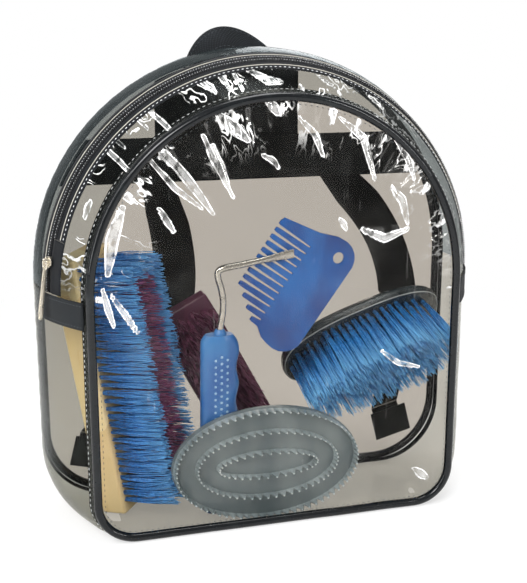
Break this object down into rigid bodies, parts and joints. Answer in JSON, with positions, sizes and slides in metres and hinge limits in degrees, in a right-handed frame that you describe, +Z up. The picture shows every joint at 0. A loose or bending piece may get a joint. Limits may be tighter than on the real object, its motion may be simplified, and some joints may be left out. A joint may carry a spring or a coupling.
{
  "type": "grooming backpack",
  "caption": "Clear vinyl backpack with an arched zip-open front, slack shoulder straps and a carrying loop, holding horse brushes, combs and a hoof pick.",
  "frame": {"origin": "centre of the underside of the base, where the bag stands", "axes": "+Z up, the front with the zipped flap faces -Y, the straps are on the +Y side, +X to the right of someone who looks at the front"},
  "size_m": [0.355, 0.1553, 0.382],
  "materials": {
    "clear_vinyl": "clear, glossy",
    "black_vinyl": "glossy",
    "black_cloth": "woven",
    "black_plastic": "satin",
    "zip_metal": "plated",
    "pale_wood": "varnished",
    "dark_wood": "painted",
    "blue_fibre": "bristle",
    "maroon_fibre": "bristle",
    "blue_plastic": "glossy, slightly see-through",
    "smoke_rubber": "satin, slightly see-through"
  },
  "bodies": {
    "bag": {"front_panel_lower": "clear_vinyl", "front_piping_lower": "black_vinyl", "lower_gusset": "clear_vinyl", "back_panel": "clear_vinyl", "rear_piping": "black_vinyl", "rear_strip": "clear_vinyl", "zip_tape_rear": "black_cloth", "zip_teeth_rear": "black_plastic", "zip_tape_end_left": "black_cloth", "zip_tape_end_right": "black_cloth", "zip_end_tab_left": "black_cloth", "zip_end_tab_right": "black_cloth", "yoke_band": "black_cloth", "loop_patch": "black_cloth", "loop_root_left": "black_cloth", "loop_root_right": "black_cloth", "strap_root_left": "black_cloth", "strap_root_right": "black_cloth", "strap_foot_left": "black_cloth", "strap_foot_right": "black_cloth", "corner_tab_left": "black_cloth", "corner_tab_right": "black_cloth"},
    "front_flap": {"front_panel_upper": "clear_vinyl", "front_piping_upper": "black_vinyl", "front_strip": "clear_vinyl", "zip_tape_front": "black_cloth", "zip_teeth_front": "black_plastic"},
    "slider": {"zip_slider": "zip_metal", "zip_bail": "zip_metal"},
    "pull": {"zip_pull": "zip_metal"},
    "top_loop": {"carrying_loop": "black_cloth"},
    "strap_left": {"strap_pad_left": "black_cloth", "ladder_lock_left": "black_plastic", "strap_web_left": "black_cloth"},
    "strap_right": {"strap_pad_right": "black_cloth", "ladder_lock_right": "black_plastic", "strap_web_right": "black_cloth"},
    "dandy_brush": {"dandy_block": "pale_wood", "dandy_bristles_outer": "blue_fibre", "dandy_bristles_centre": "maroon_fibre"},
    "body_brush": {"body_brush_back": "black_plastic", "body_brush_bristles": "blue_fibre"},
    "face_brush": {"face_block": "dark_wood", "face_bristles": "maroon_fibre"},
    "hoof_pick": {"pick_handle": "blue_plastic", "pick_shank": "zip_metal"},
    "comb": {"mane_comb": "blue_plastic"},
    "rubber_comb": {"curry_comb": "smoke_rubber"}
  },
  "joints": [
    {"name": "front_flap_fold", "type": "hinge", "parent": "bag", "child": "front_flap", "pos_m": [0, -0.0578, 0.19], "axis": [1, 0, 0], "range_deg": [0, 110]},
    {"name": "zip_slide", "type": "hinge", "parent": "bag", "child": "slider", "pos_m": [0, -0.012, 0.1903], "axis": [0, 1, 0], "range_deg": [0, 164]},
    {"name": "pull_swing", "type": "hinge", "parent": "slider", "child": "pull", "pos_m": [-0.17029, -0.01366, 0.21423], "axis": [-0.382, 0.9226, 0.0537], "range_deg": [0, 150]},
    {"name": "loop_fold", "type": "hinge", "parent": "bag", "child": "top_loop", "pos_m": [-0.009, 0.0546, 0.3515], "axis": [1, 0, 0], "range_deg": [-80, 0]},
    {"name": "strap_left_swing", "type": "hinge", "parent": "bag", "child": "strap_left", "pos_m": [-0.075, 0.059, 0.268], "axis": [-0.2467, 0, -0.9691], "range_deg": [-30, 12]},
    {"name": "strap_right_swing", "type": "hinge", "parent": "bag", "child": "strap_right", "pos_m": [0.075, 0.059, 0.268], "axis": [0.2467, 0, -0.9691], "range_deg": [-30, 12]},
    {"name": "dandy_lift", "type": "slide", "parent": "bag", "child": "dandy_brush", "axis": [0, 0, 1], "range_m": [0, 0.01]},
    {"name": "body_brush_lift", "type": "slide", "parent": "bag", "child": "body_brush", "axis": [0, 0, 1], "range_m": [0, 0.03]},
    {"name": "face_brush_lift", "type": "slide", "parent": "bag", "child": "face_brush", "axis": [0, 0, 1], "range_m": [0, 0.04]},
    {"name": "hoof_pick_lift", "type": "slide", "parent": "bag", "child": "hoof_pick", "axis": [0, 0, 1], "range_m": [0, 0.04]},
    {"name": "comb_lift", "type": "slide", "parent": "bag", "child": "comb", "axis": [0, 0, 1], "range_m": [0, 0.04]},
    {"name": "rubber_comb_lift", "type": "slide", "parent": "bag", "child": "rubber_comb", "axis": [0, 0, 1], "range_m": [0, 0.008]}
  ]
}
